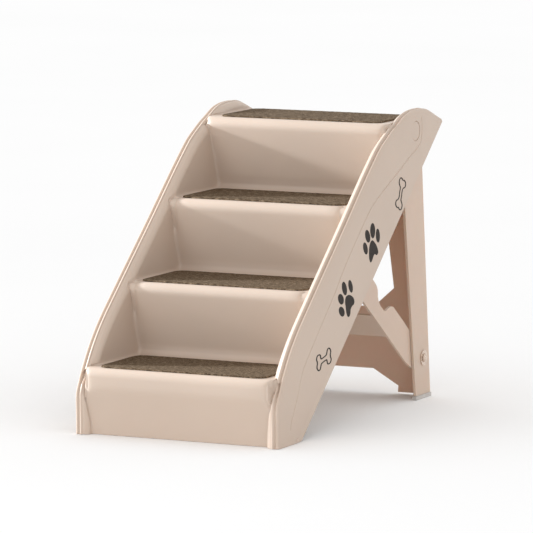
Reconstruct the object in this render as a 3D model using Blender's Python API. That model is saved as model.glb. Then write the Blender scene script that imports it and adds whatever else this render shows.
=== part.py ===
"""Folding four-step pet stairs: moulded stair shell, carpet treads, rear leg frame and brace.

Metres, +Z up, +X to the right seen from the front, +Y to the back. The origin is the middle of
the footprint, on the floor. Side-view outlines are given as (y, z) from the front edge of the
first step, or as (s, d): s along the slope of the stairs and d at right angles below it.
"""
import math

import bmesh
import bpy
from mathutils import Vector

# Stairs
WIDTH = 0.458
RISE = 0.1546
RUN = 0.1851
STEPS = 4
FIRST_TREAD = 0.1366
TREAD_DEPTH = 0.218
FRONT = -0.4055             # y of the front edge of the first step
SKIN = 0.0028               # wall thickness of the moulding
BAND = 0.1726               # depth of the side walls below the line of the step edges
RIM = 0.0045                # height of the side walls above the line of the step edges
FLOOR_GAP = 0.0006          # the moulding stands on its pads, this far above the floor
FIT = 0.0003                # gap between pieces that touch

# Side walls, as half widths
OUTER = WIDTH / 2
LIP = 0.2166
FLARE_FOOT = 0.1985
FLARE = 0.020
DRAFT = 0.05

# Leg frame
HINGE = (0.6701, 0.5785)
PIVOT = (0.7475, 0.0872)
LEG_IN = 0.2085
LEG_OUT = 0.2140
LEG_LEAN = 0.0965           # how far the rear face goes forward for each metre up
LEG_BACK = 0.7856           # y of the rear face at the floor
LEG_FRONT = 0.7103          # y of the front edge at the floor
LEG_FRONT_LEAN = 0.147
LEG_TOP_RADIUS = 0.0270
WEB = 0.0040
LEG_FOOT = 0.0088           # underside of the leg, on top of its rubber foot

# Brace
ARM_IN = 0.2025
ARM_OUT = 0.2080
ARM_ANGLE = math.radians(144.4)
ARM_LENGTH = 0.372
ARM_UP = 0.0185             # edge of the arm above the pivot
ARM_DOWN = 0.0460           # edge of the arm below the pivot

# Fasteners
SHAFT = 0.0040
HOLE = 0.0044
POCKET = 0.0213
CAP = 0.0210
POCKET_FLOOR = 0.2205
SIDES = 32

SLOPE = math.atan2(RISE, RUN)
COS, SIN = math.cos(SLOPE), math.sin(SLOPE)


def clear_scene():
    for old in list(bpy.data.objects):
        bpy.data.objects.remove(old, do_unlink=True)


def plastic(name, color, roughness=0.45, metallic=0.0):
    made = bpy.data.materials.new(name)
    made.use_nodes = True
    shader = made.node_tree.nodes["Principled BSDF"]
    shader.inputs["Base Color"].default_value = (*color, 1.0)
    shader.inputs["Roughness"].default_value = roughness
    shader.inputs["Metallic"].default_value = metallic
    return made


def add_object(name, mesh, material, smooth=True):
    made = bpy.data.objects.new(name, mesh)
    bpy.context.scene.collection.objects.link(made)
    if material:
        mesh.materials.append(material)
    if smooth:
        mesh.shade_smooth()
        mesh.set_sharp_from_angle(angle=math.radians(35))
    return made


def mesh_from(points, faces):
    mesh = bpy.data.meshes.new("mesh")
    mesh.from_pydata([tuple(p) for p in points], [], faces)
    work = bmesh.new()
    work.from_mesh(mesh)
    bmesh.ops.recalc_face_normals(work, faces=work.faces)
    work.to_mesh(mesh)
    work.free()
    return mesh


def prism(outline, low, high, place):
    """Closed solid of an outline swept from low to high; place(a, b, c) gives the 3-D point."""
    count = len(outline)
    points = [place(a, b, low) for a, b in outline] + [place(a, b, high) for a, b in outline]
    faces = [list(range(count)), list(range(count, 2 * count))]
    for i in range(count):
        j = (i + 1) % count
        faces.append([i, j, count + j, count + i])
    return mesh_from(points, faces)


def side_point(y, z, x):
    return Vector((x, y + FRONT, z))


def arc(center, radius, start, end, steps):
    """Points on a circle, from one angle in degrees to the other."""
    turn = [math.radians(start + (end - start) * i / steps) for i in range(steps + 1)]
    return [(center[0] + radius * math.cos(a), center[1] + radius * math.sin(a)) for a in turn]


def rod(center, radius, low, high, sides=SIDES):
    """Closed round solid along X through a side-view point."""
    ring = arc(center, radius, 0, 360, sides)[:-1]
    return prism(ring, min(low, high), max(low, high), side_point)


def turned(center, stations, sides=SIDES):
    """Closed turned solid along X: stations are (x, radius), and a radius of 0 closes an end."""
    points, rings = [], []
    for x, radius in stations:
        ring = []
        for y, z in arc(center, max(radius, 0.0), 0, 360, sides)[:-1] if radius else [center]:
            ring.append(len(points))
            points.append(side_point(y, z, x))
        rings.append(ring)
    faces = []
    for one, two in zip(rings, rings[1:]):
        for i in range(sides):
            j = (i + 1) % sides
            corners = [one[i % len(one)], one[j % len(one)], two[j % len(two)], two[i % len(two)]]
            faces.append(list(dict.fromkeys(corners)))
    for ring in (rings[0], rings[-1]):
        if len(ring) > 1:
            faces.append(ring)
    return mesh_from(points, faces)


def guide(name, mesh):
    """A cutter or a shape to join, which isn't a part itself."""
    made = add_object(name, mesh, None, smooth=False)
    made.hide_render = True
    made.display_type = "WIRE"
    return made


def boolean(target, operation, mesh, solver="EXACT"):
    made = guide(target.name + "_" + operation.lower(), mesh)
    step = target.modifiers.new(operation.lower(), "BOOLEAN")
    step.operation = operation
    step.solver = solver
    step.object = made


def to_slope(y, z):
    return y * COS + (z - FIRST_TREAD) * SIN, y * SIN - (z - FIRST_TREAD) * COS


def from_slope(s, d):
    return s * COS + d * SIN, FIRST_TREAD + s * SIN - d * COS


def curve_at(points, where):
    """Value of a smooth curve through (position, value) points, level tangents not forced."""
    last = len(points) - 1
    i = 0
    while i < last - 1 and where > points[i + 1][0]:
        i += 1
    (a, va), (b, vb) = points[i], points[i + 1]
    before = points[max(i - 1, 0)]
    after = points[min(i + 2, last)]
    slope_a = (vb - before[1]) / (b - before[0])
    slope_b = (after[1] - va) / (after[0] - a)
    t = min(max((where - a) / (b - a), 0.0), 1.0)
    hermite = ((2 * t - 3) * t * t + 1, (t - 2) * t * t + t, (3 - 2 * t) * t * t, (t - 1) * t * t)
    return (hermite[0] * va + hermite[1] * slope_a * (b - a)
            + hermite[2] * vb + hermite[3] * slope_b * (b - a))


# Depth of the rim along the slope: upright front post, straight flight, rounded top corner
RIM_CURVE = [
    (-0.1500, 0.1800), (-0.0600, 0.0720), (-0.0327, 0.0392), (-0.0020, 0.0250), (0.0229, 0.0161),
    (0.0650, 0.0050), (0.1107, -0.0020), (0.1600, -RIM), (0.4000, -RIM), (0.6400, -RIM),
    (0.7082, 0.0076), (0.7480, 0.0192), (0.7874, 0.0318), (0.8273, 0.0563), (0.8716, 0.0977),
    (0.9141, 0.1709)]

# Edge of a step: front edge at y = 0, tread at z = 0
NOSE = [(0.0085, -0.0360), (0.0068, -0.0300), (0.0030, -0.0250), (0.0000, -0.0200),
        (0.0000, -0.0110), (0.0030, -0.0035), (0.0120, 0.0000)]
CORNER = 0.018              # radius between tread and riser

# The front riser is upright under the first step's edge, then goes back towards the floor
FIRST_NOSE = [(0.0000, -0.0380), (0.0000, -0.0110), (0.0030, -0.0035), (0.0120, 0.0000)]
FRONT_RISER = [(0.0185, -0.0450), (0.0172, 0.0000), (0.0142, 0.0360), (0.0082, 0.0660),
               (0.0018, 0.0890)]
LAST_TREAD_END = [(0.780, 0.0), (0.792, -0.0019), (0.8025, -0.0070)]


def stair_profile():
    """Walking surface in side view, from under the floor at the front to the top rear edge."""
    points = list(FRONT_RISER)
    for step in range(STEPS):
        y, z = step * RUN, FIRST_TREAD + step * RISE
        points += [(y + a, z + b) for a, b in (NOSE if step else FIRST_NOSE)]
        if step < STEPS - 1:
            back = y + TREAD_DEPTH
            points += [(y + 0.06, z), (y + 0.13, z)]
            points += arc((back - CORNER, z + CORNER), CORNER, 270, 350, 3)
            points.append((back - 0.010, z + 0.065))
        else:
            end = LAST_TREAD_END[0][0]
            start = y + NOSE[-1][0]
            points += [(start + (end - start) * i / 8, z) for i in range(1, 8)]
            points += [(a, z + b) for a, b in LAST_TREAD_END]
    return points


def offset_profile(points, distance):
    """The profile moved at right angles to itself, to the underside."""
    moved = []
    for i, (y, z) in enumerate(points):
        before, after = points[max(i - 1, 0)], points[min(i + 1, len(points) - 1)]
        dy, dz = after[0] - before[0], after[1] - before[1]
        size = math.hypot(dy, dz)
        moved.append((y + dz / size * distance, z - dy / size * distance))
    return moved


def inner_wall(height):
    """Half width of the inner wall at a height below its lip: a flared band, then draft."""
    if height <= FLARE:
        t = max(height, 0.0) / FLARE
        return LIP + (FLARE_FOOT - LIP) * math.sin(t * math.pi / 2)
    return FLARE_FOOT - (height - FLARE) * DRAFT


def wall_section(s):
    """Solid cross-section of the right side wall, as (x, d), with its rolled rim on top."""
    rim = curve_at(RIM_CURVE, s)
    room = min(1.0, (BAND - rim) / 0.040)
    edge = [(OUTER, 0.0115), (OUTER - 0.0010, 0.0080), (OUTER - 0.0045, 0.0058),
            (OUTER - 0.0075, 0.0062), (LIP + 0.0012, 0.0008), (LIP - 0.0004, 0.0)]
    band = [(inner_wall(h), h) for h in (0.004, 0.010, FLARE)]
    foot = BAND - rim
    return ([(OUTER, BAND)] + [(x, rim + d * room) for x, d in edge + band]
            + [(inner_wall(max(foot, FLARE)), BAND)])


def cavity_section(s):
    """The hollow inside the right side wall, open along the wall's lower edge."""
    rim = curve_at(RIM_CURVE, s)
    room = min(1.0, (BAND - rim) / 0.040)
    open_edge = BAND + 0.010
    roof = [(OUTER - SKIN, 0.0140), (OUTER - 0.0060, 0.0100), (LIP - 0.0040, 0.0100),
            (FLARE_FOOT + SKIN, FLARE + 0.0060)]
    foot = BAND - rim
    return ([(OUTER - SKIN, open_edge)] + [(x, rim + d * room) for x, d in roof]
            + [(inner_wall(max(foot, FLARE)) + SKIN, open_edge)])


def skinned(rings):
    """Closed solid through rings of the same point count."""
    count = len(rings[0])
    points = [p for ring in rings for p in ring]
    faces = [list(range(count)), list(range(len(points) - count, len(points)))]
    for j in range(len(rings) - 1):
        for i in range(count):
            k = (i + 1) % count
            faces.append([j * count + i, j * count + k, (j + 1) * count + k, (j + 1) * count + i])
    return mesh_from(points, faces)


def lofted(section, stations, side):
    """Closed solid through the cross-sections at the stations, for one side of the stairs."""
    return skinned([[side_point(*from_slope(s, d), side * x) for x, d in section(s)]
                    for s in stations])


WALL_STATIONS = ([-0.100, -0.060, -0.033, -0.018, -0.002, 0.010, 0.023, 0.044, 0.065, 0.088, 0.110,
                  0.135, 0.160, 0.400] + [0.640 + 0.0195 * i for i in range(14)] + [0.9060, 0.9125])
CAVITY_END = 0.9095


def flight_solid(points, lowest, half):
    """The flight as one solid: the walking surface closed along a line below the walls' edge."""
    first, last = to_slope(*points[0]), to_slope(*points[-1])
    closing = [from_slope(last[0], lowest), from_slope(first[0], lowest)]
    return prism(points + closing, -half, half, side_point)


# The first and the last step stand forward of both rims, and their ends turn back to them.
# Outlines are (y, z) from the step's edge; the riser's foot stays, and the rest turns back.
TURN = 0.2010               # half width where the front turns back
TURN_SLOPE = 1.90
TURN_WIDTHS = (0.1860, TURN, 0.2050, 0.2090, 0.2130, 0.2160)
ROLL = [(0.0000, -0.0110), (0.0030, -0.0035), (0.0120, -FIT)]
ROLL_INSIDE = [(0.0150, -0.0033), (0.0085, -0.0061), (0.0060, -0.0113)]
FOOT = [(0.0175, -0.1386), (0.0145, -0.1006), (0.0085, -0.0706), (0.0056, -0.0590)]
FOOT_INSIDE = [(0.0098, -0.0620), (0.0118, -0.0706), (0.0175, -0.1006), (0.0205, -0.1386)]
FIRST_TURN = [(0.0048, -0.0586), (0.0015, -0.0476), (0.0000, -0.0380)] + ROLL
LAST_TURN = [(0.0083, -0.0340), (0.0033, -0.0250), (0.0003, -0.0200)] + ROLL
END_PLATE = 0.0060          # thickness of the turned-back end along y


def turned_by(x):
    return TURN_SLOPE * max(0.0, x - TURN) + FIT


def step_end(step, side):
    """Skin of a turned-back end of a step, and of the first riser down to the floor."""
    z = FIRST_TREAD + step * RISE
    turn, foot, foot_inside = (LAST_TURN, [], []) if step else (FIRST_TURN, FOOT, FOOT_INSIDE)
    (low_y, low_z), rings = turn[0], []
    for x in TURN_WIDTHS:
        back = turned_by(x)
        ring = foot + [(a + back, b) for a, b in turn] + [(0.0500, -FIT), (0.0500, -0.0033)]
        ring += [(a + back, b) for a, b in ROLL_INSIDE]
        ring.append((low_y + back + END_PLATE, low_z if step else low_z - 0.0034))
        ring += foot_inside
        rings.append([side_point(step * RUN + a, z + b, side * x) for a, b in ring])
    return skinned(rings)


def stair_shell(material):
    profile = stair_profile()
    under = offset_profile(profile, SKIN)
    shell = add_object("stair_shell", flight_solid(profile, BAND - 0.006, 0.200), material)
    for side in (-1, 1):
        boolean(shell, "UNION", lofted(wall_section, WALL_STATIONS, side), "MANIFOLD")
    boolean(shell, "DIFFERENCE", flight_solid(under, BAND + 0.014, 0.2045), "MANIFOLD")
    for side in (-1, 1):
        stations = [s for s in WALL_STATIONS if s < CAVITY_END] + [CAVITY_END]
        boolean(shell, "DIFFERENCE", lofted(cavity_section, stations, side), "MANIFOLD")
        for step in (0, STEPS - 1):
            boolean(shell, "UNION", step_end(step, side), "MANIFOLD")
    return shell


def arm_point(along, across):
    a = ARM_ANGLE
    return (PIVOT[0] + along * math.cos(a) + across * math.sin(a),
            PIVOT[1] + along * math.sin(a) - across * math.cos(a))


def floor_cutter():
    """Everything under the floor line, and the rounded rear bottom corner of the side walls."""
    rounded = [(0.085, FLOOR_GAP), (0.104, 0.0020), (0.122, 0.0075), (0.140, 0.0200)]
    outline = [(-0.1, -0.2), (0.3, -0.2), (0.3, 0.020)] + rounded[::-1] + [(-0.1, FLOOR_GAP)]
    return prism(outline, -0.3, 0.3, side_point)


def build_shell(material):
    shell = stair_shell(material)
    boolean(shell, "DIFFERENCE", floor_cutter(), "MANIFOLD")
    for side in (-1, 1):
        boss = rod(HINGE, POCKET + 0.0032, side * (LEG_OUT + 0.0010), side * (OUTER - 0.0010))
        boolean(shell, "UNION", boss, "MANIFOLD")
        boolean(shell, "DIFFERENCE", rod(HINGE, POCKET, side * POCKET_FLOOR, side * 0.240), "MANIFOLD")
        boolean(shell, "DIFFERENCE", rod(HINGE, HOLE, side * 0.205, side * 0.235, 16), "MANIFOLD")
        boolean(shell, "DIFFERENCE", rod(PAD_SCREW, 0.0022, side * 0.215, side * 0.235, 12), "MANIFOLD")
    return shell


# Carpet inserts
CARPET = 0.0034
CARPET_FRONT = 0.020
CARPET_DEPTH = 0.179
CARPET_HALF = 0.1865
CARPET_ROUND_FRONT = 0.022
CARPET_ROUND_BACK = 0.022


def build_carpets(material):
    half, front, back = CARPET_HALF, CARPET_FRONT, CARPET_FRONT + CARPET_DEPTH
    rf, rb = CARPET_ROUND_FRONT, CARPET_ROUND_BACK
    outline = (arc((half - rf, front + rf), rf, -90, 0, 8) + arc((half - rb, back - rb), rb, 0, 90, 6)
               + arc((rb - half, back - rb), rb, 90, 180, 6)
               + arc((rf - half, front + rf), rf, 180, 270, 8))
    for step in range(STEPS):
        y, z = step * RUN + FRONT, FIRST_TREAD + step * RISE + FIT
        mesh = prism(outline, 0.0, CARPET, lambda a, b, c: Vector((a, b, c)))
        carpet = add_object("tread_carpet_%d" % (step + 1), mesh, material)
        carpet.location = (0.0, y, z)


def leg_rear(z, forward=0.0):
    """y of the leg's rear face at a height, or of a plane lying forward of it."""
    return LEG_BACK - LEG_LEAN * z - forward * math.hypot(1.0, LEG_LEAN)


# Right half of the rear panel with its webs and gussets, as (x, z)
PANEL_HALF = [(0.0844, 0.0525), (0.1415, 0.0182), (0.1400, 0.0040), (0.2052, 0.0040),
              (0.2052, LEG_FOOT + FIT), (0.2120, LEG_FOOT + FIT), (0.2120, 0.5150), (0.1160, 0.5150),
              (0.1396, 0.2308), (0.1032, 0.1991), (0.0760, 0.1880)]


def build_leg_frame(material, pivot_hinge):
    flange = [(LEG_FRONT - LEG_FRONT_LEAN * LEG_FOOT, LEG_FOOT), (leg_rear(LEG_FOOT, FIT), LEG_FOOT),
              (leg_rear(0.520, FIT), 0.520)]
    flange += arc(HINGE, LEG_TOP_RADIUS, 20, 190, 14)
    flange.append((LEG_FRONT - LEG_FRONT_LEAN * 0.500, 0.500))
    outline = PANEL_HALF + [(-x, z) for x, z in PANEL_HALF[::-1]]
    panel = prism(outline, 0.0, WEB, lambda a, b, c: side_point(leg_rear(b, c), b, a))
    frame = add_object("leg_frame", panel, material)
    for side in (-1, 1):
        low, high = sorted((side * LEG_IN, side * LEG_OUT))
        boolean(frame, "UNION", prism(flange, low, high, side_point), "MANIFOLD")
        for center in (HINGE, PIVOT):
            boolean(frame, "DIFFERENCE", rod(center, HOLE, side * 0.205, side * 0.218, 16), "MANIFOLD")
    set_origin(frame, pivot_hinge)


def set_origin(target, point):
    """Moves an object's origin to a point without moving its shape, nor its cutters."""
    for vertex in target.data.vertices:
        vertex.co -= point
    target.location = point


# Edge of a brace arm, as (along, across) from its pivot, from the upper edge to the hook
ARM_UPPER = [(0.0100, ARM_UP + 0.0005), (0.1900, ARM_UP), (0.2020, 0.0130), (0.2110, 0.0030),
             (0.2190, -0.0070), (0.2280, -0.0112), (0.2500, -0.0115), (0.2620, -0.0090),
             (0.2720, -0.0020), (0.2800, 0.0085), (0.2890, 0.0130), (0.3000, 0.0145),
             (0.3300, 0.0145)]
ARM_END = [(0.3520, 0.0110), (0.3650, 0.0010), (ARM_LENGTH, -0.0130), (ARM_LENGTH - 0.001, -0.0270),
           (0.3640, -0.0390), (0.3500, -0.0450), (0.3400, -ARM_DOWN)]
ARM_LOWER = [(0.0700, -ARM_DOWN), (0.0350, -0.0420), (0.0050, -0.0330), (-0.0130, -0.0200),
             (-0.0215, -0.0040), (-0.0190, 0.0090), (-0.0080, 0.0180)]
PLATE = (0.176, 0.268)


def build_brace_frame(material, pivot_point):
    outline = [arm_point(*p) for p in ARM_UPPER + ARM_END + ARM_LOWER]
    low, high = PLATE
    skin = -ARM_DOWN + 0.0006
    across = [(low, skin), (high, skin), (high, skin + 0.0035), (low + 0.0035, skin + 0.0035),
              (low + 0.0035, skin + 0.016), (low, skin + 0.016)]
    plate = prism([arm_point(*p) for p in across], -ARM_IN - 0.002, ARM_IN + 0.002, side_point)
    frame = add_object("brace_frame", plate, material)
    for side in (-1, 1):
        low_x, high_x = sorted((side * ARM_IN, side * ARM_OUT))
        boolean(frame, "UNION", prism(outline, low_x, high_x, side_point), "MANIFOLD")
        boolean(frame, "DIFFERENCE", rod(PIVOT, HOLE, side * 0.200, side * 0.211, 16), "MANIFOLD")
    set_origin(frame, pivot_point)


def hexagon(center, radius):
    return arc(center, radius, 0, 360, 6)[:-1]


def build_fasteners(steel, cap_material):
    for side, word in ((-1, "left"), (1, "right")):
        def spans(*values):
            return [(side * x, r) for x, r in values]

        pin = [(0.2036, 0.0), (0.2036, 0.0070), (0.2046, 0.0090), (0.2067, 0.0090),
               (0.2067, SHAFT), (0.2255, SHAFT), (0.2255, 0.0)]
        add_object("hinge_pin_" + word, turned(HINGE, spans(*pin)), steel)
        add_object("hinge_washer_" + word, washer(HINGE, 0.0110, side * 0.2070, side * 0.2082), steel)
        add_object("hinge_nut_" + word, nut(HINGE, side * (POCKET_FLOOR + FIT), side * 0.2248), steel)
        cap = [(0.2262, 0.0), (0.2262, CAP), (0.2276, CAP), (0.2284, CAP - 0.0010), (0.2284, 0.0)]
        add_object("hinge_cap_" + word, turned(HINGE, spans(*cap), 48), cap_material)
        bolt = [(0.1958, 0.0), (0.1958, SHAFT), (0.2163, SHAFT), (0.2163, 0.0092), (0.2185, 0.0088),
                (0.2202, 0.0066), (0.2210, 0.0030), (0.2212, 0.0)]
        add_object("brace_bolt_" + word, turned(PIVOT, spans(*bolt)), steel)
        add_object("brace_washer_" + word, washer(PIVOT, 0.0165, side * 0.2143, side * 0.2160), steel)
        add_object("brace_inner_washer_" + word,
                   washer(PIVOT, 0.0100, side * 0.2010, side * 0.2022), steel)
        add_object("brace_nut_" + word, nut(PIVOT, side * 0.1966, side * 0.2007), steel)
        screw = [(0.2180, 0.0), (0.2180, 0.0017), (0.2293, 0.0017), (0.2293, 0.0036),
                 (0.2300, 0.0030), (0.2300, 0.0)]
        add_object("pad_screw_" + word, turned(PAD_SCREW, spans(*screw), 20), steel)


def ring_mesh(outer, inner, low, high):
    """Closed ring between two outlines of the same point count, along X."""
    low, high = min(low, high), max(low, high)
    count = len(outer)
    points = [side_point(*p, x) for x in (low, high) for loop in (outer, inner) for p in loop]
    faces = []
    for i in range(count):
        j = (i + 1) % count
        low_out, low_in, high_out, high_in = 0, count, 2 * count, 3 * count
        for a, b in ((low_out, low_in), (low_in, high_in), (high_in, high_out), (high_out, low_out)):
            faces.append([a + i, a + j, b + j, b + i])
    return mesh_from(points, faces)


def washer(center, radius, low, high):
    outer = arc(center, radius, 0, 360, SIDES)[:-1]
    inner = arc(center, HOLE, 0, 360, SIDES)[:-1]
    return ring_mesh(outer, inner, low, high)


def nut(center, low, high):
    """Six flats around a round hole; the outline has two points between its corners."""
    corners = hexagon(center, 0.0075)
    outer = []
    for one, two in zip(corners, corners[1:] + corners[:1]):
        for t in (0.0, 0.5):
            outer.append((one[0] + (two[0] - one[0]) * t, one[1] + (two[1] - one[1]) * t))
    inner = arc(center, HOLE, 0, 360, len(outer))[:-1]
    return ring_mesh(outer, inner, low, high)


# Rubber
PAD_SCREW = (0.087, 0.0072)
PAD_X = (0.2135, OUTER - SKIN - 0.0005)
PAD_Y = (0.040, 0.098)
PAD_TOP = 0.0125
FOOT_X = (0.2060, 0.2160)
FOOT_Y = (0.7072, 0.7872)


def block(low, high, round_edge=0.0):
    (x0, y0, z0), (x1, y1, z1) = low, high
    points = [(x, y + FRONT, z) for x in (x0, x1) for y in (y0, y1) for z in (z0, z1)]
    faces = [[0, 1, 3, 2], [4, 6, 7, 5], [0, 4, 5, 1], [2, 3, 7, 6], [0, 2, 6, 4], [1, 5, 7, 3]]
    mesh = mesh_from(points, faces)
    if round_edge:
        work = bmesh.new()
        work.from_mesh(mesh)
        bmesh.ops.bevel(work, geom=list(work.edges), offset=round_edge, segments=2,
                        affect="EDGES", profile=0.5)
        work.to_mesh(mesh)
        work.free()
    return mesh


def build_rubber(material):
    for side, word in ((-1, "left"), (1, "right")):
        x0, x1 = sorted((side * FOOT_X[0], side * FOOT_X[1]))
        foot = block((x0, FOOT_Y[0], 0.0), (x1, FOOT_Y[1], LEG_FOOT - FIT), 0.0012)
        add_object("leg_foot_" + word, foot, material)
        x0, x1 = sorted((side * PAD_X[0], side * PAD_X[1]))
        pad = add_object("floor_pad_" + word, block((x0, PAD_Y[0], 0.0), (x1, PAD_Y[1], PAD_TOP)),
                         material)
        boolean(pad, "DIFFERENCE", rod(PAD_SCREW, 0.0021, side * 0.2165, side * 0.235, 12))


def main():
    clear_scene()
    body = plastic("beige_plastic", (0.58, 0.48, 0.40))
    frame = plastic("frame_plastic", (0.57, 0.47, 0.39))
    carpet = plastic("brown_carpet", (0.22, 0.15, 0.09), 0.95)
    steel = plastic("nickel_steel", (0.75, 0.70, 0.66), 0.25, 1.0)
    rubber = plastic("grey_rubber", (0.42, 0.40, 0.38), 0.8)
    build_shell(body)
    build_carpets(carpet)
    build_leg_frame(frame, side_point(*HINGE, 0.0))
    build_brace_frame(frame, side_point(*PIVOT, 0.0))
    build_fasteners(steel, body)
    build_rubber(rubber)


main()
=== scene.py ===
"""Looks of the folding pet stairs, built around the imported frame."""

import math

import bmesh
import bpy
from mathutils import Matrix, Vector, geometry, noise

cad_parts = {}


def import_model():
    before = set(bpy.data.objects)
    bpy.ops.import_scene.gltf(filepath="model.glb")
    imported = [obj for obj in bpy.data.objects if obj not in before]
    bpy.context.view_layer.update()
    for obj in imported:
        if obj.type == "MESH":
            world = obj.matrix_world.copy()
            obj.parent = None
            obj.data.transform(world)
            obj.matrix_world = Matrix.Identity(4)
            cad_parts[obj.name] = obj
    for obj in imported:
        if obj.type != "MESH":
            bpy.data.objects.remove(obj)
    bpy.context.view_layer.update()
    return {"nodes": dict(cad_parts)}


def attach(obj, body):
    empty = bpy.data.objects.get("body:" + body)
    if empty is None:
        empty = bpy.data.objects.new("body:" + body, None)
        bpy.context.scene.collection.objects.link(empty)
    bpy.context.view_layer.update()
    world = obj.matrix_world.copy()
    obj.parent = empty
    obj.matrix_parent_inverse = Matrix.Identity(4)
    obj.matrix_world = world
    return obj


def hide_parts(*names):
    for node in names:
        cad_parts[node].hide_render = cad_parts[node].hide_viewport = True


# Shape of the moulding, as in the CAD source, in metres. Side views are (y, z) from the first
# step's front edge, or (s, d) along the slope of the stairs and at right angles below it.
RISE, RUN, STEPS = 0.1546, 0.1851, 4
FIRST_TREAD, TREAD_DEPTH = 0.1366, 0.218
FRONT = -0.4055             # y of the first step's front edge in the frame
SKIN = 0.0028               # wall thickness
BAND = 0.1726               # depth of the side walls' lower edge
BAND_END = 0.040            # remaining depth of side wall below which the rim's section is squeezed
RIM = 0.0045                # height of the straight rim above the line through the steps' edges
FLOOR_GAP = 0.0006          # height of the moulding's lower edge above the floor
TOP = 0.6239                # highest point of the visual model
# A side wall's half widths: outer face, inner edge of the rim, and foot of the flare below the rim
OUTER, LIP, FLARE_FOOT = 0.229, 0.2136, 0.1985
FLARE = 0.020               # depth of the flare below the rim
DRAFT = 0.05                # slope of the inner wall below the flare
LEAST_WALL = 0.0035         # least height of the inner wall over a tread
HINGE = (0.6701, 0.5785)
SLOPE = math.atan2(RISE, RUN)
COS, SIN = math.cos(SLOPE), math.sin(SLOPE)
RIM_CURVE = [
    (-0.1500, 0.1800), (-0.0600, 0.0720), (-0.0327, 0.0392), (-0.0020, 0.0250), (0.0229, 0.0161),
    (0.0650, 0.0050), (0.1107, -0.0020), (0.1600, -RIM), (0.4000, -RIM), (0.6400, -RIM),
    (0.7082, 0.0076), (0.7480, 0.0192), (0.7874, 0.0318), (0.8273, 0.0563), (0.8716, 0.0977),
    (0.9141, 0.1709)]


def to_slope(y, z):
    """(s, d) of a point (y, z)."""
    return y * COS + (z - FIRST_TREAD) * SIN, y * SIN - (z - FIRST_TREAD) * COS


def from_slope(s, d):
    """(y, z) of a point (s, d)."""
    return s * COS + d * SIN, FIRST_TREAD + s * SIN - d * COS


def curve_at(points, where):
    """Height of the smooth curve through the points."""
    last = len(points) - 1
    i = 0
    while i < last - 1 and where > points[i + 1][0]:
        i += 1
    (a, va), (b, vb) = points[i], points[i + 1]
    before, after = points[max(i - 1, 0)], points[min(i + 2, last)]
    slope_a = (vb - before[1]) / (b - before[0])
    slope_b = (after[1] - va) / (after[0] - a)
    t = min(max((where - a) / (b - a), 0.0), 1.0)
    hermite = ((2 * t - 3) * t * t + 1, (t - 2) * t * t + t, (3 - 2 * t) * t * t, (t - 1) * t * t)
    return (hermite[0] * va + hermite[1] * slope_a * (b - a)
            + hermite[2] * vb + hermite[3] * slope_b * (b - a))


def smooth_step(low, high, value):
    """0 below low, 1 above high, and a smooth rise between."""
    t = min(max((value - low) / (high - low), 0.0), 1.0)
    return t * t * (3 - 2 * t)


def arc(center, radius, start, end, steps):
    """Points of an arc between two angles in degrees."""
    turn = [math.radians(start + (end - start) * i / steps) for i in range(steps + 1)]
    return [(center[0] + radius * math.cos(a), center[1] + radius * math.sin(a)) for a in turn]


# ---------------------------------------------------------------- the moulded shell

NOSE_ROLL = 0.0165          # radius of a step's edge
TURN = 0.2010               # half width where the ends of the first and last step turn back
TURN_SLOPE = 1.90           # how far they turn back over how far they go out
TURN_EASE = 0.004           # width over which they start to turn
TURN_FADE = 0.075           # distance behind the edge where the turn is over
SINK = 0.2005               # half width where the last tread starts to sink
SINK_SLOPE = 1.3
SINK_EASE = 0.002
# Half width where a higher step's edge starts to roll back, and over what width it does
ROLL_START, ROLL_WIDTH = 0.1760, 0.0150
ROLL_BACK = 0.0060          # how far a higher step's edge rolls back where it meets the wall
EDGE_FILLET, TREAD_FILLET = 0.0042, 0.0095      # radius to the wall, at an edge and elsewhere
BEND_STEPS = 6              # columns of the fillet between tread and wall, 15 degrees each
WALL_STEPS, FLARE_STEPS = 5, 7      # columns of the inner wall and of its flare
UNDER_STEPS = 12            # columns of the underside below the tread
UNDER_WIDTH = 0.2040        # greatest half width of the underside below the tread
UNDER_RIM = 0.010           # depth of the underside below the rim
BLEND = 0.0012              # depth over which tread and rim run into each other
# The first riser, from below the floor, where the shell is cut, up towards the first step's edge
FIRST_RISER = [(0.0186, -0.0450), (0.0178, -0.0150), (0.0172, 0.0000), (0.0163, 0.0150),
               (0.0148, 0.0320), (0.0120, 0.0500), (0.0096, 0.0610), (0.0076, 0.0690),
               (0.0061, 0.0745), (0.0053, 0.0775), (0.0045, 0.0800), (0.0036, 0.0830),
               (0.0024, 0.0870), (0.0010, 0.0930), (0.0003, 0.0990), (0.0000, 0.1050)]
# Shares of the tread's half width at which a row has a point
FLOOR_SHARES = (0.0, 0.3, 0.6, 0.8, 0.9, 0.935, 0.955, 0.970, 0.985, 1.0)


def nose_points(first):
    """Edge of a step, from the riser below it up and over to the tread."""
    roll = arc((NOSE_ROLL, -NOSE_ROLL), NOSE_ROLL, 180, 90, 9)
    if first:
        return [(0.0000, -0.0260), (0.0000, -0.0210)] + roll
    return [(0.0061, -0.0420), (0.0041, -0.0345), (0.0023, -0.0275), (0.0009, -0.0220)] + roll


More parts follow.
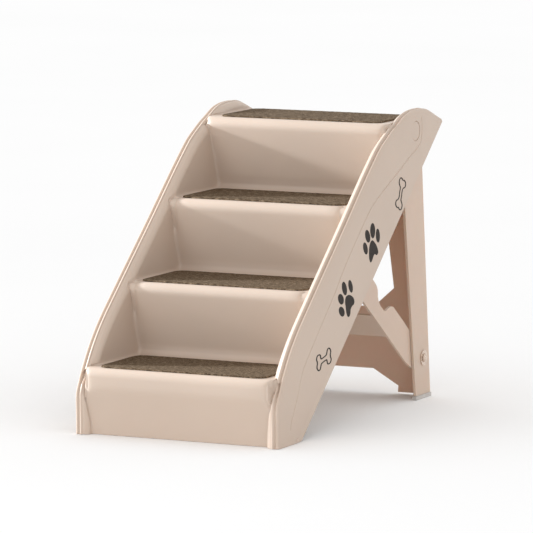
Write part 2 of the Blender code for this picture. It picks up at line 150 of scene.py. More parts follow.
def stair_rows():
    """Points of the walking surface, in side view, from under the floor to the top rear edge, and
    which of them are on a step's edge."""
    points = list(FIRST_RISER)
    noses = set()
    for step in range(STEPS):
        y, z = step * RUN, FIRST_TREAD + step * RISE
        nose = nose_points(step == 0)
        noses.update(range(len(points) - 1, len(points) + len(nose)))
        points += [(y + a, z + b) for a, b in nose]
        if step == STEPS - 1:
            points += [(0.572 + 0.0094 * i, z) for i in range(1, 23)]
            points += [(0.7840, z - 0.0004), (0.7890, z - 0.0012), (0.7940, z - 0.0026),
                       (0.7985, z - 0.0045), (0.8022, z - 0.0070)]
            continue
        points += [(y + 0.024 + 0.0103 * i, z) for i in range(17)]
        back = y + TREAD_DEPTH
        points += arc((back - 0.018, z + 0.018), 0.018, 270, 346, 9)
        points += [(back - 0.0008 - 0.0037 * i, z + 0.0137 + 0.0141 * i) for i in range(1, 7)]
    return points, [i in noses for i in range(len(points))]


def row_normals(points):
    """Upward direction at each point of a line, in side view."""
    normals = []
    for i in range(len(points)):
        (y0, z0), (y1, z1) = points[max(i - 1, 0)], points[min(i + 1, len(points) - 1)]
        size = math.hypot(y1 - y0, z1 - z0)
        normals.append(Vector((-(z1 - z0) / size, (y1 - y0) / size)))
    return normals


def averaged(values, times):
    """The values, smoothed along the list."""
    for _ in range(times):
        ends = [values[0]] + values + [values[-1]]
        values = [(a + b * 2 + c) / 4 for a, b, c in zip(ends, ends[1:], ends[2:])]
    return values


def rising(values, step):
    """The values, moved as little as needed for each to be at least a step above the last."""
    up, down = list(values), list(values)
    for i in range(1, len(up)):
        up[i] = max(up[i], up[i - 1] + step)
    for i in range(len(down) - 2, -1, -1):
        down[i] = min(down[i], down[i + 1] - step)
    return [(a + b) / 2 for a, b in zip(up, down)]


def inner_wall(height):
    """Half width of the inner wall at a depth below the rim."""
    if height <= FLARE:
        return LIP + (FLARE_FOOT - LIP) * math.sin(max(height, 0.0) / FLARE * math.pi / 2)
    return FLARE_FOOT - (height - FLARE) * DRAFT


# Rolled rim in section, with its two ridges: (x, depth below the rim)
BEAD = [(LIP - 0.0010, 0.0030), (LIP - 0.0006, 0.0012), (LIP + 0.0003, 0.0002),
        (LIP + 0.0015, 0.0000), (LIP + 0.0030, 0.0006), (LIP + 0.0042, 0.0022),
        (LIP + 0.0053, 0.0044), (LIP + 0.0064, 0.0054), (LIP + 0.0075, 0.0046),
        (LIP + 0.0087, 0.0026), (LIP + 0.0101, 0.0014), (LIP + 0.0117, 0.0016),
        (LIP + 0.0132, 0.0034), (LIP + 0.0144, 0.0066), (OUTER, 0.0112)]


def turned_back(point, x):
    """How far the end of the first or the last step turns back to the rim at half width x."""
    last = point[0] > 2.5 * RUN
    y = point[0] - (STEPS - 1) * RUN if last else point[0]
    z = point[1] - FIRST_TREAD - (STEPS - 1) * RISE if last else point[1] - FIRST_TREAD
    if y > 0.08 or z > 0.001:
        return 0.0
    low, high = max(-0.034 - z, 0.0) / 0.024, max(z + 0.028, 0.0) / 0.028
    past = x - TURN - min(0.012 * low * low, 0.015) - 0.005 * high * high
    turn = TURN_SLOPE * 0.5 * (past + math.sqrt(past * past + TURN_EASE * TURN_EASE))
    gate = smooth_step(-0.040, -0.028, z) if last else 1.0
    return turn * gate * (1 - smooth_step(NOSE_ROLL, TURN_FADE, y))


def sunk(point, x):
    """How far the last tread's surface drops at half width x, under the ends of the side walls."""
    past = x - SINK
    drop = SINK_SLOPE * 0.5 * (past + math.sqrt(past * past + SINK_EASE * SINK_EASE))
    return drop * smooth_step(0.600, 0.680, point[0])


def rolled_back(point, x):
    """How far a higher step's edge has rolled back where it meets the wall."""
    t = min(max((x - ROLL_START) / ROLL_WIDTH, 0.0), 1.0)
    return ROLL_BACK * (1 - math.sqrt(1 - t * t)) if 0.1 < point[0] < 0.5 else 0.0


def row_fillet(point, largest):
    """Radius between tread and wall: the largest, or less where the wall is low."""
    s, d = to_slope(*point)
    available = max(d - curve_at(RIM_CURVE, s), 0.0)
    return 1 / (1 / largest + 1 / max(0.55 * available, 0.0015))


def foot_of(point, normal, fillet):
    """Where the radius between tread and wall ends on the wall."""
    return point[0] + normal[0] * fillet, point[1] + normal[1] * fillet


def rim_room(rim):
    """How much of the rim's section fits above the side wall's lower edge."""
    return min(1.0, max(BAND - rim, 0.0) / BAND_END)


def outer_section(point, normal, fillet, s, edge):
    """One row of the upper skin, from the middle of the tread out to the outer face; s is where
    the row meets the rim."""
    s_foot, d = to_slope(*foot_of(point, normal, fillet))
    rim = curve_at(RIM_CURVE, s)
    room = rim_room(rim)
    height = max(d - rim, LEAST_WALL)
    flare = min(FLARE, 0.8 * height)
    floor_end = inner_wall(height) - fillet
    tops = [(floor_end * share, point) for share in FLOOR_SHARES]
    for i in range(1, BEND_STEPS + 1):
        a = math.radians(15 * i)
        rise = fillet * (1 - math.cos(a))
        tops.append((floor_end + fillet * math.sin(a),
                     (point[0] + normal[0] * rise, point[1] + normal[1] * rise)))
    turning = len(tops)
    for i in range(1, WALL_STEPS + 1):
        h = height + (flare - height) * i / WALL_STEPS
        s_row = s_foot + (s - s_foot) * i / WALL_STEPS
        tops.append((inner_wall(h), from_slope(s_row, curve_at(RIM_CURVE, s_row) + h * room)))
    for i in range(1, FLARE_STEPS + 1):
        h = flare + (LEAST_WALL - flare) * i / (FLARE_STEPS + 1)
        tops.append((inner_wall(h), from_slope(s, rim + h * room)))
    tops += [(x, from_slope(s, rim + h * room)) for x, h in BEAD]
    section = []
    for i, (x, top) in enumerate(tops):
        back = rolled_back(point, x) if edge else 0.0
        turn, drop = turned_back(point, x), sunk(point, x)
        if i < turning:
            top = (top[0] + turn - normal[0] * back, top[1] - drop - normal[1] * back)
        base = (point[0] + turn - normal[0] * back, point[1] - drop - normal[1] * back)
        gap = to_slope(*base)[1] - to_slope(*top)[1]
        share = 1 / (1 + math.exp(-max(min(gap / BLEND, 30.0), -30.0)))
        section.append((x, top[0] * share + base[0] * (1 - share),
                        top[1] * share + base[1] * (1 - share)))
    return section


def inner_section(point, normal, s, columns):
    """One row of the underside, with as many points as the upper skin."""
    below = (point[0] - normal[0] * SKIN, point[1] - normal[1] * SKIN)
    rim = curve_at(RIM_CURVE, s)
    room = rim_room(rim)
    d = to_slope(*below)[1]
    height = max(d - rim, LEAST_WALL)
    end = min(inner_wall(height) + SKIN, UNDER_WIDTH)
    count = columns - len(BEAD) - UNDER_STEPS
    section = [(end * (i / (UNDER_STEPS - 1)), *below) for i in range(UNDER_STEPS)]
    for i in range(count):
        h = height + (UNDER_RIM - height) * (i + 1) / count
        x = min(max(end, inner_wall(max(h, 0.0)) + SKIN), LIP - 0.001)
        section.append((x, *from_slope(s, rim + max(h, UNDER_RIM) * room)))
    start = section[-1][0]
    for i in range(len(BEAD)):
        x = start + (OUTER - SKIN - start) * (i + 1) / len(BEAD)
        h = UNDER_RIM + 0.004 * smooth_step(0.7, 1.0, (i + 1) / len(BEAD))
        section.append((x, *from_slope(s, rim + h * room)))
    if height > LEAST_WALL + 0.0001:
        return section
    held = []
    for x, y, z in section:
        along, depth = to_slope(y, z)
        held.append((x, *from_slope(along, d)) if depth < d else (x, y, z))
    return held


def grid_faces(rows, columns, start, flip):
    """Four-sided faces of a grid of points, numbered row by row from start."""
    faces = []
    for r in range(rows - 1):
        for c in range(columns - 1):
            a = start + r * columns + c
            face = (a, a + 1, a + columns + 1, a + columns)
            faces.append(face[::-1] if flip else face)
    return faces


# Fine groove that follows the side wall's edge, as (y, z)
GROOVE = [(0.0560, 0.0300), (0.0577, 0.0418), (0.0700, 0.0640), (0.0857, 0.0885), (0.1010, 0.1210),
          (0.1160, 0.1455), (0.1515, 0.1800), (0.2565, 0.2741), (0.3145, 0.3310), (0.3957, 0.4010),
          (0.4472, 0.4400), (0.5000, 0.4660), (0.5476, 0.4868), (0.5883, 0.5039), (0.6395, 0.5270),
          (0.6720, 0.5395), (0.6880, 0.5480), (0.6985, 0.5590), (0.7015, 0.5740), (0.7012, 0.5950),
          (0.6985, 0.6085)]
GROOVE_HALF = 0.0019
GROOVE_DEEP = 0.0015
GROOVE_STEP = 0.006
CAP_HOLE = 0.0213           # radius and depth of the hinge cap's pocket
CAP_DEEP = 0.0055
CAP_SIDES = 72


def between(p, t):
    """Point at share t between the second and the third of four points on a smooth curve."""
    return 0.5 * (2 * p[1] + (p[2] - p[0]) * t + (2 * p[0] - 5 * p[1] + 4 * p[2] - p[3]) * t * t
                  + (3 * p[1] - p[0] - 3 * p[2] + p[3]) * t ** 3)


def smooth_line(points, step):
    """Points at about the given spacing along a smooth curve through the points."""
    line = []
    for i in range(len(points) - 1):
        p = [points[max(i - 1, 0)], points[i], points[i + 1], points[min(i + 2, len(points) - 1)]]
        p = [Vector((a, b)) for a, b in p]
        count = max(1, int(round((p[2] - p[1]).length / step)))
        line += [between(p, k / count) for k in range(count)]
    line.append(Vector(points[-1]))
    return line


def smooth_loop(points, steps=6):
    """Closed smooth curve through the points, with that many steps between two of them."""
    loop = []
    count = len(points)
    for i in range(count):
        p = [Vector(points[(i + k) % count]) for k in (-1, 0, 1, 2)]
        loop += [between(p, k / steps) for k in range(steps)]
    return loop


def beside_loop(line, distance):
    """A closed line, moved sideways."""
    moved = []
    for i in range(len(line)):
        along = line[(i + 1) % len(line)] - line[i - 1]
        moved.append(line[i] + Vector((-along.y, along.x)).normalized() * distance)
    return moved


def beside(line, distance):
    """An open line, moved sideways."""
    moved = []
    for i in range(len(line)):
        along = line[min(i + 1, len(line) - 1)] - line[max(i - 1, 0)]
        moved.append(line[i] + Vector((-along.y, along.x)).normalized() * distance)
    return moved


def side_face(top, bottom):
    """Flat outer face of a side wall as (points (x, y, z), triangles), with its groove and the
    round pocket of the hinge cap."""
    points = [Vector(p) for p in top] + [Vector(p) for p in bottom[::-1]]
    edges = [(i, (i + 1) % len(points)) for i in range(len(points))]
    depth = {}
    line = smooth_line(GROOVE, GROOVE_STEP)
    for offset, deep in ((-GROOVE_HALF, 0.0), (0.0, GROOVE_DEEP), (GROOVE_HALF, 0.0)):
        start = len(points)
        moved = beside(line, offset)
        points += moved
        edges += [(start + i, start + i + 1) for i in range(len(moved) - 1)]
        for i in range(1, len(moved) - 1):
            depth[start + i] = deep
    hole = len(points)
    points += [Vector(p) for p in arc(HINGE, CAP_HOLE, 0, 360, CAP_SIDES)[:-1]]
    edges += [(hole + i, hole + (i + 1) % CAP_SIDES) for i in range(CAP_SIDES)]
    rims = set(range(len(top) + len(bottom))) | set(range(len(edges) - CAP_SIDES, len(edges)))
    flat, kept, origin = triangulated(points, edges, rims)
    shaped = []
    for i, p in enumerate(flat):
        deep = max([depth.get(k, 0.0) for k in origin[i]] or [0.0])
        shaped.append((OUTER - deep, p.x, p.y))
    return shaped, kept


def triangulated(points, edges, rims):
    """Triangles of the region around the largest triangle, bounded by the edges numbered in
    rims; returns the points, the triangles and the input numbers of each point."""
    result = geometry.delaunay_2d_cdt(points, edges, [], 0, 1e-7, True)
    flat, out_edges, faces, origin, edge_origin = result[:5]
    walls = {frozenset(e) for e, ids in zip(out_edges, edge_origin) if rims.intersection(ids)}
    beside_edge = {}
    for f, face in enumerate(faces):
        for k in range(3):
            beside_edge.setdefault(frozenset((face[k], face[k - 1])), []).append(f)

    def size(face):
        a, b, c = (flat[i] for i in face)
        return abs((b - a).cross(c - a))

    waiting = [max(range(len(faces)), key=lambda f: size(faces[f]))]
    kept = set(waiting)
    while waiting:
        face = faces[waiting.pop()]
        for k in range(3):
            edge = frozenset((face[k], face[k - 1]))
            if edge in walls:
                continue
            for other in beside_edge[edge]:
                if other not in kept:
                    kept.add(other)
                    waiting.append(other)
    return flat, [faces[f] for f in sorted(kept)], origin


def inside(outline, point):
    """Whether a point is within a closed outline."""
    hit = False
    for a, b in zip(outline, outline[1:] + outline[:1]):
        if (a.y > point.y) != (b.y > point.y):
            if point.x < a.x + (b.x - a.x) * (point.y - a.y) / (b.y - a.y):
                hit = not hit
    return hit


def build_shell():
    """The whole moulding as one closed skin: upper side, underside, outer faces and pockets."""
    profile, tight = stair_rows()
    normals = row_normals(profile)
    wall_normals = [n.normalized() for n in averaged(normals, 3)]
    fillets = averaged([row_fillet(p, EDGE_FILLET if t else TREAD_FILLET)
                        for p, t in zip(profile, tight)], 3)
    stations = [to_slope(*foot_of(*row))[0] for row in zip(profile, wall_normals, fillets)]
    stations = rising(averaged(stations, 2), 0.0009)
    upper, lower = [], []
    for point, normal, wall_normal, fillet, s, edge in zip(profile, normals, wall_normals, fillets,
                                                           stations, tight):
        upper.append(outer_section(point, wall_normal, fillet, s, edge))
        lower.append(inner_section(point, normal, s, len(upper[0])))
    rows, columns = len(upper), len(upper[0])
    bottom = [from_slope(s, BAND) for s in stations]
    upper = [[(x, max(y, 0.0), min(z, TOP)) for x, y, z in row] for row in upper]
    points = [p for row in upper for p in row] + [p for row in lower for p in row]
    faces = grid_faces(rows, columns, 0, True)
    under = rows * columns
    faces += grid_faces(rows, columns, under, False)
    outside_low = len(points)
    points += [(OUTER, y, z) for y, z in bottom]
    inside_low = len(points)
    points += [(OUTER - SKIN, y, z) for y, z in bottom]
    for r in range(rows - 1):
        a, b = under + r * columns + columns - 1, under + (r + 1) * columns + columns - 1
        faces.append((a, inside_low + r, inside_low + r + 1, b))
        faces.append((inside_low + r, outside_low + r, outside_low + r + 1, inside_low + r + 1))
    last = (rows - 1) * columns
    for c in range(columns - 1):
        faces.append((last + c, last + c + 1, under + last + c + 1, under + last + c))
    faces.append((last + columns - 1, outside_low + rows - 1, inside_low + rows - 1,
                  under + last + columns - 1))
    wall, wall_faces = side_face([(p[-1][1], p[-1][2]) for p in upper], bottom)
    shift = len(points)
    points += wall
    faces += [tuple(shift + i for i in face) for face in wall_faces]
    add_pocket(points, faces)
    shell = add_piece("stair_moulding", mirrored(points, faces), "stairs")
    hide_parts("stair_shell")
    return shell


def add_pocket(points, faces):
    """Wall and bottom of the round pocket for the hinge cap."""
    pocket = len(points)
    floor = OUTER - CAP_DEEP
    for x, radius in ((OUTER, CAP_HOLE), (floor, CAP_HOLE), (floor, 0.002)):
        points += [(x, y, z) for y, z in arc(HINGE, radius, 0, 360, CAP_SIDES)[:-1]]
    for a in (pocket, pocket + CAP_SIDES):
        for i in range(CAP_SIDES):
            j = (i + 1) % CAP_SIDES
            faces.append((a + i, a + j, a + CAP_SIDES + j, a + CAP_SIDES + i))
    faces.append(tuple(range(pocket + 2 * CAP_SIDES, pocket + 3 * CAP_SIDES)))


def mirrored(points, faces):
    """Mesh of the right half and its mirror image, joined in the middle and cut at the floor."""
    work = bmesh.new()
    for side in (1, -1):
        made = [work.verts.new((side * x, y + FRONT, z)) for x, y, z in points]
        for face in faces:
            corners = [made[i] for i in (face if side > 0 else face[::-1])]
            try:
                work.faces.new(corners)
            except ValueError:
                continue
    bmesh.ops.remove_doubles(work, verts=work.verts, dist=0.00002)
    cut_floor(work)
    bmesh.ops.recalc_face_normals(work, faces=work.faces)
    return finished("shell", work)


def finished(name, work):
    """The bmesh as a mesh of that name."""
    mesh = bpy.data.meshes.new(name)
    work.to_mesh(mesh)
    work.free()
    return mesh


def cut_floor(work):
    """Trims the moulding at the floor and rounds the side walls' lower rear corners."""
    corner = [(0.050, FLOOR_GAP), (0.085, FLOOR_GAP), (0.104, 0.0020), (0.122, 0.0075),
              (0.140, 0.0200)]
    for (y0, z0), (y1, z1) in zip(corner, corner[1:]):
        normal = Vector((0.0, z1 - z0, -(y1 - y0))).normalized()
        everything = list(work.verts) + list(work.edges) + list(work.faces)
        bmesh.ops.bisect_plane(work, geom=everything, dist=1e-7,
                               plane_co=(0.0, y0 + FRONT, z0), plane_no=normal, clear_outer=True)
        open_edges = [e for e in work.edges if e.is_boundary]
        near = [e for e in open_edges
                if all(abs((v.co - Vector((0.0, y0 + FRONT, z0))).dot(normal)) < 1e-5
                       for v in e.verts)]
        bmesh.ops.holes_fill(work, edges=near, sides=0)


# ---------------------------------------------------------------- pieces and materials

def add_piece(name, mesh, body, material=None, sharp=35.0):
    """A smooth-shaded piece that moves with a body; edges over the sharp angle stay sharp."""
    piece = bpy.data.objects.new(name, mesh)
    bpy.context.scene.collection.objects.link(piece)
    mesh.shade_smooth()
    mesh.set_sharp_from_angle(angle=math.radians(sharp))
    if material:
        mesh.materials.append(material)
    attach(piece, body)
    return piece


class Nodes:
    """Short helper for building a node material."""

    def __init__(self, name):
        self.material = bpy.data.materials.new(name)
        self.material.use_nodes = True
        self.tree = self.material.node_tree
        self.shader = self.tree.nodes["Principled BSDF"]
        self.place = self.tree.nodes.new("ShaderNodeTexCoord").outputs["Object"]

    def add(self, kind, **settings):
        node = self.tree.nodes.new(kind)
        for key, value in settings.items():
            node.inputs[key].default_value = value
        return node

    def link(self, source, target):
        self.tree.links.new(source, target)

    def noise(self, scale, detail=2.0, roughness=0.5, vector=None):
        node = self.add("ShaderNodeTexNoise", Scale=scale, Detail=detail, Roughness=roughness)
        self.link(vector or self.place, node.inputs["Vector"])
        return node.outputs["Fac"]

    def stretched(self, x, y, z):
        node = self.add("ShaderNodeMapping")
        node.inputs["Scale"].default_value = (x, y, z)
        self.link(self.place, node.inputs["Vector"])
        return node.outputs["Vector"]

    def ramp(self, value, stops):
        node = self.tree.nodes.new("ShaderNodeValToRGB")
        ramp = node.color_ramp
        while len(ramp.elements) < len(stops):
            ramp.elements.new(0.5)
        for element, (at, color) in zip(ramp.elements, stops):
            element.position = at
            element.color = (*color, 1.0)
        self.link(value, node.inputs["Fac"])
        return node.outputs["Color"]

    def spread(self, value, low, high):
        node = self.add("ShaderNodeMapRange")
        node.inputs["To Min"].default_value = low
        node.inputs["To Max"].default_value = high
        self.link(value, node.inputs["Value"])
        return node.outputs["Result"]

    def mixed(self, one, two, share):
        node = self.tree.nodes.new("ShaderNodeMix")
        node.data_type = "FLOAT"
        node.inputs[0].default_value = share
        self.link(one, node.inputs[2])
        self.link(two, node.inputs[3])
        return node.outputs[0]

    def bump(self, height, strength, distance):
        node = self.add("ShaderNodeBump", Strength=strength, Distance=distance)
        self.link(height, node.inputs["Height"])
        self.link(node.outputs["Normal"], self.shader.inputs["Normal"])

    def set(self, **values):
        for key, value in values.items():
            self.shader.inputs[key.replace("_", " ")].default_value = value


def moulded(name, color, scatter):
    """Satin moulded plastic: faint mottling, fine orange peel and a soft skin under the gloss;
    scatter is the share of light that scatters below the surface."""
    n = Nodes(name)
    cloudy = n.noise(3.5, 4.0)
    light = tuple(c * 1.025 for c in color)
    dark = tuple(c * 0.975 for c in color)
    n.link(n.ramp(cloudy, [(0.35, dark), (0.65, light)]), n.shader.inputs["Base Color"])
    n.link(n.spread(n.noise(60.0, 3.0), 0.37, 0.47), n.shader.inputs["Roughness"])
    n.bump(n.mixed(n.noise(900.0, 2.0), n.noise(45.0, 2.0), 0.4), 0.12, 0.0004)
    n.set(Subsurface_Weight=scatter, Subsurface_Scale=0.07 * scatter, Specular_IOR_Level=0.5)
    n.shader.inputs["Subsurface Radius"].default_value = (1.0, 0.55, 0.35)
    return n.material


def carpet_material():
    """Needled pile: fibres mostly across the tread, with tone that varies along them; the dark low
    gaps are painted shade and the lighter high tips painted light.
    """
    n = Nodes("carpet_pile")
    streaks = n.noise(1.0, 4.0, 0.65, n.stretched(90.0, 420.0, 200.0))
    fleck = n.noise(1.0, 3.0, 0.6, n.stretched(240.0, 700.0, 500.0))
    height_and_painted_shade = n.mixed(streaks, fleck, 0.45)
    # Colour ramp over the pile's height: its dark low end is painted shade in the gaps, its light
    # high end painted light on the tips
    color = n.ramp(height_and_painted_shade, [(0.38, (0.022, 0.014, 0.008)), (0.47, (0.085, 0.056, 0.033)),
                          (0.54, (0.165, 0.115, 0.072)), (0.63, (0.34, 0.26, 0.18))])
    n.link(color, n.shader.inputs["Base Color"])
    n.bump(height_and_painted_shade, 0.9, 0.0012)
    n.set(Roughness=0.95, Specular_IOR_Level=0.08)
    return n.material


def print_material():
    """Dark ink, slightly worn."""
    n = Nodes("dark_print")
    worn = n.noise(160.0, 4.0)
    n.link(n.ramp(worn, [(0.3, (0.022, 0.016, 0.013)), (0.7, (0.036, 0.027, 0.022))]),
           n.shader.inputs["Base Color"])
    n.link(n.spread(n.noise(300.0, 2.0), 0.55, 0.70), n.shader.inputs["Roughness"])
    n.bump(n.noise(800.0), 0.1, 0.0002)
    n.set(Specular_IOR_Level=0.2)
    return n.material


def metal_material():
    """Plated metal with fine turning marks."""
    n = Nodes("nickel_plate")
    turned = n.noise(1.0, 3.0, 0.6, n.stretched(2000.0, 260.0, 260.0))
    n.link(n.ramp(turned, [(0.3, (0.56, 0.44, 0.36)), (0.7, (0.80, 0.67, 0.57))]),
           n.shader.inputs["Base Color"])
    n.link(n.spread(turned, 0.20, 0.34), n.shader.inputs["Roughness"])
    n.bump(turned, 0.12, 0.0002)
    n.set(Metallic=1.0)
    return n.material


def rubber_material():
    """Grey rubber of the feet and pads."""
    n = Nodes("rubber_foot")
    n.link(n.ramp(n.noise(90.0, 4.0), [(0.3, (0.50, 0.47, 0.44)), (0.7, (0.58, 0.55, 0.52))]),
           n.shader.inputs["Base Color"])
    n.bump(n.noise(600.0, 3.0), 0.3, 0.0004)
    n.set(Roughness=0.75)
    return n.material


# ---------------------------------------------------------------- carpets

CARPET = 0.0034             # thickness
CARPET_HALF, CARPET_FRONT, CARPET_DEPTH = 0.1865, 0.020, 0.179
CARPET_ROUND_FRONT, CARPET_ROUND_BACK = 0.022, 0.022
GLUE = 0.0003
PILE_STEP = 0.0030          # spacing of the carpet's points
PILE_ROUGH = 0.0003         # how uneven its top is
# The cut edge from the top down, as (distance inside the outline, height)
CUT_EDGE = ((0.0022, CARPET - 0.0004), (0.0008, CARPET - 0.0009), (0.0001, CARPET - 0.0018),
            (0.0, 0.0))


def carpet_outline():
    """Rectangle with rounded corners, with points at about the pile's spacing."""
    half, front, back = CARPET_HALF, CARPET_FRONT, CARPET_FRONT + CARPET_DEPTH
    rf, rb = CARPET_ROUND_FRONT, CARPET_ROUND_BACK
    corners = (arc((half - rf, front + rf), rf, -90, 0, 20)
               + arc((half - rb, back - rb), rb, 0, 90, 14)
               + arc((rb - half, back - rb), rb, 90, 180, 14)
               + arc((rf - half, front + rf), rf, 180, 270, 20))
    line = []
    for (x0, y0), (x1, y1) in zip(corners, corners[1:] + corners[:1]):
        count = max(1, int(round(math.hypot(x1 - x0, y1 - y0) / PILE_STEP)))
        line += [(x0 + (x1 - x0) * k / count, y0 + (y1 - y0) * k / count) for k in range(count)]
    return [Vector(p) for p in line]


def pile_points(outline):
    """Grid of points within the outline."""
    points = []
    nx, ny = int(2 * CARPET_HALF / PILE_STEP), int(CARPET_DEPTH / PILE_STEP)
    for i in range(nx + 1):
        for j in range(ny + 1):
            p = Vector((-CARPET_HALF + 2 * CARPET_HALF * i / nx,
                        CARPET_FRONT + CARPET_DEPTH * j / ny))
            if inside(outline, p):
                points.append(p)
    return points


def build_carpet(step, material):
    """A carpet insert: cut edge rolled down, and an uneven top of pressed pile."""
    y0, z0 = step * RUN + FRONT, FIRST_TREAD + step * RISE + GLUE
    line = carpet_outline()
    count = len(line)
    top_edge = beside_loop(line, CUT_EDGE[0][0])
    edges = [(i, (i + 1) % count) for i in range(count)]
    flat, faces, origin = triangulated(top_edge + pile_points(top_edge), edges, set(range(count)))
    place = {k: i for i, ids in enumerate(origin) for k in ids}
    work = bmesh.new()
    top = []
    for p in flat:
        rough = noise.noise(Vector((p.x * 90 + 7 * step, p.y * 320, 1.3)))
        rough += 0.6 * noise.noise(Vector((p.x * 260, p.y * 600 + 5 * step, 4.1)))
        top.append(work.verts.new((p.x, p.y + y0, z0 + CUT_EDGE[0][1] + PILE_ROUGH * rough)))
    for face in faces:
        work.faces.new([top[i] for i in face])
    loops = [[top[place[i]] for i in range(count)]]
    for distance, height in CUT_EDGE[1:]:
        loops.append([work.verts.new((p.x, p.y + y0, z0 + height))
                      for p in beside_loop(line, distance)])
    for one, two in zip(loops, loops[1:]):
        for i, j in edges:
            work.faces.new((one[i], one[j], two[j], two[i]))
    work.faces.new(loops[-1])
    bmesh.ops.recalc_face_normals(work, faces=work.faces)
    carpet = add_piece("carpet_insert_%d" % (step + 1), finished("carpet", work), "stairs",
                       material, 80.0)
    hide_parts("tread_carpet_%d" % (step + 1))


# ---------------------------------------------------------------- prints on the side walls

PRINT_LOW, PRINT = 0.00003, 0.00012      # inner and outer side of the ink, outside the wall


def toe(y, z, half_y, half_z, lean, steps=36):
    """Oval toe, leaning forward as it goes up."""
    outline = []
    for i in range(steps):
        t = 2 * math.pi * i / steps
        outline.append((y + half_y * math.cos(t) + lean * half_z * math.sin(t),
                        z + half_z * math.sin(t) - 0.118 * half_y * math.cos(t)))
    return outline


def bone(center, half):
    """Outline of a bone from half of it, in millimetres from its middle."""
    turns = [(y * k, z * k) for k in (0.001, -0.001) for y, z in half]
    return smooth_loop([(center[0] + y, center[1] + z) for y, z in turns])


def stroke(outline, width_y, width_z):
    """The two edges of a line along a closed outline, wider along y than along z."""
    loop = [Vector((p[0] / width_y, p[1] / width_z)) for p in outline]
    return [[(p.x * width_y, p.y * width_z) for p in beside_loop(loop, k)] for k in (0.5, -0.5)]


def print_mesh(side, fills, strokes):
    """Ink on one side wall: filled outlines, and strokes between two outlines."""
    work = bmesh.new()
    low, high = side * (OUTER + PRINT_LOW), side * (OUTER + PRINT)
    for outline in fills:
        loops = []
        for x in (low, high):
            loops.append([work.verts.new((x, p[0] + FRONT, p[1])) for p in outline])
        work.faces.new(loops[1])
        work.faces.new(loops[0][::-1])
        for i in range(len(outline)):
            j = (i + 1) % len(outline)
            work.faces.new((loops[0][i], loops[0][j], loops[1][j], loops[1][i]))
    for one, two in strokes:
        rings = []
        for x, line in ((low, one), (high, one), (high, two), (low, two)):
            rings.append([work.verts.new((x, p[0] + FRONT, p[1])) for p in line])
        for k in range(4):
            a, b = rings[k], rings[(k + 1) % 4]
            for i in range(len(one)):
                j = (i + 1) % len(one)
                work.faces.new((a[i], a[j], b[j], b[i]))
    bmesh.ops.recalc_face_normals(work, faces=work.faces)
    return finished("print", work)


# Toes are (y, z, half width, half height, lean), pads (y, z) outlines, and bones half outlines
# in millimetres from the middle
UPPER_TOES = [(0.451, 0.391, 0.0126, 0.0159, -0.02), (0.426, 0.382, 0.0125, 0.0137, -0.30),
              (0.477, 0.378, 0.0103, 0.0147, -0.09), (0.415, 0.358, 0.0112, 0.0130, -0.32)]
UPPER_PAD = [(0.451, 0.371), (0.465, 0.363), (0.475, 0.353), (0.479, 0.343), (0.472, 0.338),
             (0.461, 0.341), (0.454, 0.336), (0.448, 0.329), (0.441, 0.326), (0.435, 0.332),
             (0.433, 0.342), (0.433, 0.355), (0.437, 0.365), (0.443, 0.370)]
LOWER_TOES = [(0.312, 0.287, 0.0120, 0.0145, -0.30), (0.342, 0.288, 0.0105, 0.0135, -0.33),
              (0.295, 0.267, 0.0140, 0.0114, -0.28), (0.299, 0.241, 0.0140, 0.0106, -0.34)]
LOWER_PAD = [(0.337, 0.271), (0.353, 0.265), (0.361, 0.256), (0.358, 0.249), (0.349, 0.246),
             (0.343, 0.240), (0.341, 0.231), (0.335, 0.226), (0.327, 0.228), (0.321, 0.237),
             (0.318, 0.249), (0.315, 0.260), (0.318, 0.268), (0.326, 0.271)]
UPPER_BONE = [(1, 33.5), (7, 31.5), (12, 27.5), (18, 26.5), (24, 22), (25, 16), (21, 11.5),
              (14, 10.5), (8, 6), (5, -4), (1.5, -13), (4.5, -18), (7.5, -24.5), (4.5, -31)]
LOWER_BONE = [(23, 20), (30, 17), (33, 12), (31, 6), (32, 1), (35, -4), (32, -10), (25, -12),
              (18, -11), (15, -5), (12, -2.5), (0, -4.5), (-11, -7.5), (-14.5, -12.5), (-17, -17.5)]


def build_prints(material):
    """Two paw prints and two bones on each side wall."""
    upper = [toe(*values) for values in UPPER_TOES] + [smooth_loop(UPPER_PAD)]
    lower = [toe(*values) for values in LOWER_TOES] + [smooth_loop(LOWER_PAD)]
    bones = [stroke(bone((0.592, 0.4535), UPPER_BONE), 0.0050, 0.0024),
             stroke(bone((0.213, 0.1540), LOWER_BONE), 0.0056, 0.0026)]
    for side, word in ((1, "right"), (-1, "left")):
        for name, fills, strokes in (("paw_print_upper", upper, []), ("paw_print_lower", lower, []),
                                     ("bone_print_upper", [], bones[:1]),
                                     ("bone_print_lower", [], bones[1:])):
            piece = add_piece("%s_%s" % (name, word), print_mesh(side, fills, strokes), "stairs",
                              material)


# ---------------------------------------------------------------- carried-over parts

def soften(target, width, material, segments=2):
    """Rounds a carried-over part's edges and gives it its material."""
    bevel = target.modifiers.new("edges", "BEVEL")
    bevel.width = width
    bevel.segments = segments
    bevel.limit_method = "ANGLE"
    bevel.angle_limit = math.radians(35)
    for slot in target.material_slots:
        slot.material = material


# ---------------------------------------------------------------- floor, light and camera

FLOOR_REACH = 45.0
LAMP_AIM = Vector((0.0, 0.0, 0.3))
LAMP = Vector((-0.935, -0.135, 0.29)).normalized() * 4.0 + LAMP_AIM
KEY_POWER = 300.0
FILL_POWER = 10.5
FLAG_X = -0.290             # the flag's plane, beside the left wall
FLAG_BELOW = 0.014          # how far below the rim the flag's shade starts
FLAG_STEPS = 60


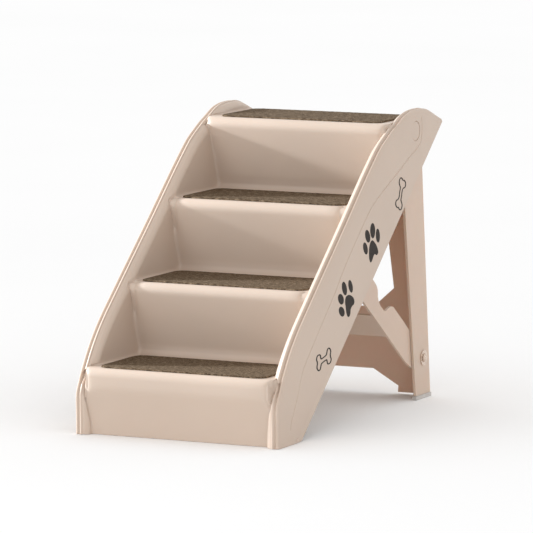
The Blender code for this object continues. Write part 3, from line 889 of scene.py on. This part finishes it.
def build_stage():
    """Plain pale floor."""
    mesh = bpy.data.meshes.new("floor")
    reach = FLOOR_REACH
    corners = [(-reach, -reach, 0), (reach, -reach, 0), (reach, reach, 0), (-reach, reach, 0)]
    mesh.from_pydata(corners, [], [(0, 1, 2, 3)])
    floor = bpy.data.objects.new("floor", mesh)
    bpy.context.scene.collection.objects.link(floor)
    n = Nodes("floor_paint")
    n.link(n.ramp(n.noise(0.6, 3.0), [(0.3, (0.975, 0.975, 0.975)), (0.7, (0.99, 0.99, 0.99))]),
           n.shader.inputs["Base Color"])
    n.set(Roughness=0.9, Specular_IOR_Level=0.0)
    mesh.materials.append(n.material)


def area_light(name, place, target, size, power, color):
    """A rectangular light that faces its target."""
    data = bpy.data.lights.new(name, "AREA")
    data.shape = "RECTANGLE"
    data.size, data.size_y = size
    data.energy = power
    data.color = color
    light = bpy.data.objects.new(name, data)
    bpy.context.scene.collection.objects.link(light)
    light.location = place
    aim = Vector(target) - Vector(place)
    light.rotation_euler = aim.to_track_quat("-Z", "Y").to_euler()
    return light


def build_flag():
    """Unseen card beside the left wall, below its rim, that keeps the key light off the outside."""
    work = bmesh.new()
    first, last = RIM_CURVE[0][0], RIM_CURVE[-1][0]
    across = (FLAG_X + OUTER) / (LAMP.x + OUTER)
    rows = []
    for i in range(FLAG_STEPS + 1):
        s = first + (last - first) * i / FLAG_STEPS
        y, z = from_slope(s, curve_at(RIM_CURVE, s) + FLAG_BELOW)
        ends = [Vector((-OUTER, y + FRONT, z)), Vector((-OUTER, y + FRONT, min(z, 0.0) - 0.02))]
        rows.append([work.verts.new(end.lerp(LAMP, across)) for end in ends])
    for (a, b), (c, d) in zip(rows, rows[1:]):
        work.faces.new((a, b, d, c))
    flag = bpy.data.objects.new("light_flag", finished("light_flag", work))
    bpy.context.scene.collection.objects.link(flag)
    flag.visible_camera = flag.visible_diffuse = flag.visible_glossy = False
    flag.visible_transmission = flag.visible_volume_scatter = False


def build_light():
    """White surroundings, a key light low on the left that spares the floor and the outside of
    the left wall, and a weak fill light in front."""
    world = bpy.data.worlds.new("studio")
    bpy.context.scene.world = world
    world.use_nodes = True
    shade = world.node_tree.nodes["Background"]
    shade.inputs["Color"].default_value = (1.0, 1.0, 1.0, 1.0)
    shade.inputs["Strength"].default_value = 1.0
    world.cycles.sampling_method = "NONE"
    key = area_light("key", LAMP, LAMP_AIM, (0.30, 0.30), KEY_POWER, (0.95, 1.02, 1.09))
    build_flag()
    spared = bpy.data.collections.new("not_lit_by_key")
    spared.objects.link(bpy.data.objects["floor"])
    area_light("fill", (-0.5, -2.3 + FRONT, 0.14), (0.0, FRONT, 0.06), (1.4, 0.25), FILL_POWER,
               (0.98, 1.0, 1.01))
    key.light_linking.receiver_collection = spared
    spared.collection_objects[0].light_linking.link_state = "EXCLUDE"
    bpy.context.scene.view_settings.view_transform = "Standard"


def build_camera():
    """Long lens from the front right, slightly above."""
    turn, tilt = math.radians(25.619), math.radians(7.1127)
    data = bpy.data.cameras.new("camera")
    camera = bpy.data.objects.new("camera", data)
    bpy.context.scene.collection.objects.link(camera)
    data.sensor_width = 36.0
    data.lens = 320.9
    data.clip_end = 60.0
    camera.location = (4.2386, -8.4169 + FRONT, 1.5307)
    camera.rotation_euler = (math.pi / 2 - tilt, 0.0, turn)
    bpy.context.scene.camera = camera


def main():
    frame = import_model()
    plastic = moulded("moulded_plastic", (0.566, 0.449, 0.364), 0.06)
    # Leg and brace plastic: the same tan as the moulding, tinted warmer as painted warm bounce
    # light for the frame's shaded web
    frame_plastic = moulded("frame_plastic", (0.590, 0.450, 0.354), 0.25)
    carpet = carpet_material()
    metal = metal_material()
    rubber = rubber_material()
    shell = build_shell()
    shell.data.materials.append(plastic)
    for step in range(STEPS):
        build_carpet(step, carpet)
    build_prints(print_material())
    for name, node in frame["nodes"].items():
        if name in ("leg_frame", "brace_frame"):
            soften(node, 0.0016, frame_plastic, 3)
        elif name.startswith(("leg_foot", "floor_pad")):
            soften(node, 0.0008, rubber)
        elif name.startswith("hinge_cap"):
            soften(node, 0.0008, plastic, 3)
        elif name != "stair_shell" and not name.startswith("tread_carpet"):
            soften(node, 0.0004, metal)
    build_stage()
    build_light()
    build_camera()


main()
